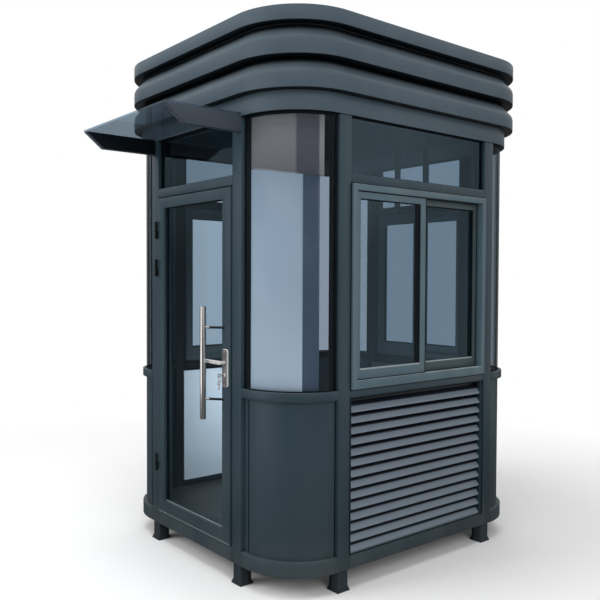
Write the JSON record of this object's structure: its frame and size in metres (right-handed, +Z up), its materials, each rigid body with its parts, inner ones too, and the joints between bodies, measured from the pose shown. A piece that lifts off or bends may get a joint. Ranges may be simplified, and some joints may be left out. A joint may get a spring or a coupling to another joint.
{
  "type": "security guard booth",
  "caption": "Steel guard booth with rounded corners, glazed hinged door under a glass canopy, sliding windows over louvres and a stepped fascia; it stands on short feet.",
  "frame": {"origin": "on the ground at the centre of the overall plan, canopy included", "axes": "+Z up, door and canopy towards -Y, +X to the right when facing the door"},
  "size_m": [1.75, 2.365, 2.845],
  "materials": {
    "frame_paint": "satin anthracite blue-grey powder coat",
    "fascia_paint": "satin grey powder coat",
    "louvre_paint": "satin grey powder coat",
    "window_paint": "satin anthracite powder coat",
    "tinted_glass": "clear blue-grey tint",
    "door_glass": "clear blue-grey tint",
    "canopy_glass": "clear green-grey tint",
    "polished_steel": "polished stainless steel",
    "black_hinge": "black",
    "lining_board": "smooth white board",
    "floor_board": "dark vinyl sheet",
    "roof_sheet": "grey painted sheet"
  },
  "bodies": {
    "cabin": {"base_corners": "frame_paint", "base_rails": "frame_paint", "canopy_brackets": "frame_paint", "canopy_glass": "canopy_glass", "corner_glass": "tinted_glass", "corner_panels": "frame_paint", "corner_sills": "frame_paint", "door_stops": "frame_paint", "fanlight_glass": "tinted_glass", "feet": "frame_paint", "floor_plate": "floor_board", "left_louvre": "louvre_paint", "left_window_frame": "window_paint", "left_window_glass": "tinted_glass", "left_window_sashes": "window_paint", "lining_boards": "lining_board", "lower_fascia_corners": "fascia_paint", "lower_fascia_sides": "fascia_paint", "middle_fascia_corners": "fascia_paint", "middle_fascia_sides": "fascia_paint", "post_hinges": "black_hinge", "posts": "frame_paint", "rear_fanlight_bars": "frame_paint", "rear_louvre": "louvre_paint", "rear_window_frame": "window_paint", "rear_window_glass": "tinted_glass", "rear_window_sashes": "window_paint", "right_louvre": "louvre_paint", "right_window_frame": "window_paint", "right_window_glass": "tinted_glass", "right_window_sashes": "window_paint", "ring_beam_corners": "fascia_paint", "ring_beam_sides": "fascia_paint", "roof_deck": "roof_sheet", "sill_rails": "frame_paint", "top_fascia_corners": "fascia_paint", "top_fascia_sides": "fascia_paint", "transom_rails": "frame_paint"},
    "door": {"door_leaf": "frame_paint", "door_glass": "door_glass", "leaf_hinges": "black_hinge", "pull_handle": "polished_steel", "lock_plate": "polished_steel"},
    "lever": {"lever_handle": "polished_steel"}
  },
  "joints": [
    {"name": "door_hinge", "type": "hinge", "parent": "cabin", "child": "door", "pos_m": [-0.38, -0.7775, 1.1], "axis": [0, 0, -1], "range_deg": [0, 95]},
    {"name": "lever_turn", "type": "hinge", "parent": "door", "child": "lever", "pos_m": [0.338, -0.7925, 1.127], "axis": [0, -1, 0], "range_deg": [0, 40], "stiffness_Nm_per_rad": 1.2, "springref_deg": -20.05}
  ]
}
